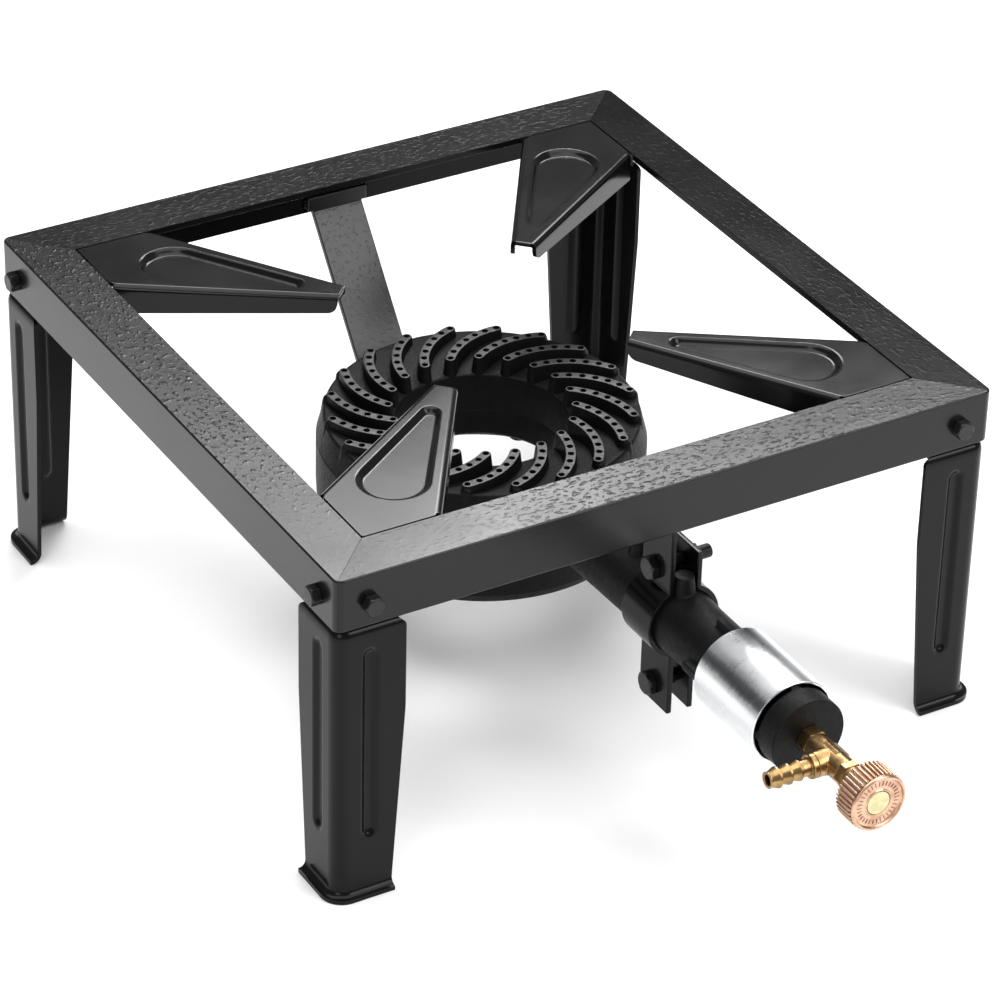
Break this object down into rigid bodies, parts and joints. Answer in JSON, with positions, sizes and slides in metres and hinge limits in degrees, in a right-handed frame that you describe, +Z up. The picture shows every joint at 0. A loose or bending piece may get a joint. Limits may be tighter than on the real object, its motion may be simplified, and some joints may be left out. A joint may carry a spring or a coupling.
{
  "type": "outdoor gas burner",
  "caption": "Square steel stand on pressed legs carrying a cast ring burner with swirled port ridges, a mixing tube, a sliding air sleeve and a brass needle valve with a hose tail.",
  "frame": {"origin": "on the ground, under the middle of the whole object's box", "axes": "+Z up, -Y towards the valve knob, +X to the right seen from the valve"},
  "size_m": [0.3292, 0.4696, 0.16],
  "materials": {
    "enamel": "gloss black enamel",
    "black_steel": "satin black",
    "cast_iron": "matt black casting, ground ridge tops",
    "zinc": "bright zinc plate",
    "brass": "turned",
    "copper": "copper-coloured, fluted",
    "packing": "plain"
  },
  "bodies": {
    "stand": {"rail_front": "enamel", "rail_right": "enamel", "rail_back": "enamel", "rail_left": "enamel", "pot_support_front_left": "enamel", "pot_support_front_right": "enamel", "pot_support_back_right": "enamel", "pot_support_back_left": "enamel", "leg_front_left": "enamel", "leg_front_right": "enamel", "leg_back_right": "enamel", "leg_back_left": "enamel", "burner_strap": "enamel", "clamp_fixed_half": "enamel", "clamp_loose_half": "enamel", "leg_bolts": "black_steel", "leg_nuts": "black_steel", "strap_bolt": "black_steel", "strap_nut": "black_steel", "clamp_bolts": "black_steel", "clamp_nuts": "black_steel", "burner_head": "cast_iron", "burner_body": "cast_iron", "ring_screws": "zinc", "gas_jet": "brass", "jet_lock_nut": "brass", "valve_body": "brass", "hose_tail": "brass", "gland_nut": "brass", "gland_packing": "packing"},
    "sleeve": {"air_sleeve": "zinc"},
    "knob": {"valve_spindle": "brass", "control_knob": "copper", "knob_cap": "brass"}
  },
  "joints": [
    {"name": "air_sleeve_slide", "type": "slide", "parent": "stand", "child": "sleeve", "axis": [0, 1, 0], "range_m": [0, 0.024]},
    {"name": "knob_turn", "type": "hinge", "parent": "stand", "child": "knob", "pos_m": [0.009, -0.2278, 0.0865], "axis": [0, -1, 0], "range_deg": [0, 540]}
  ]
}
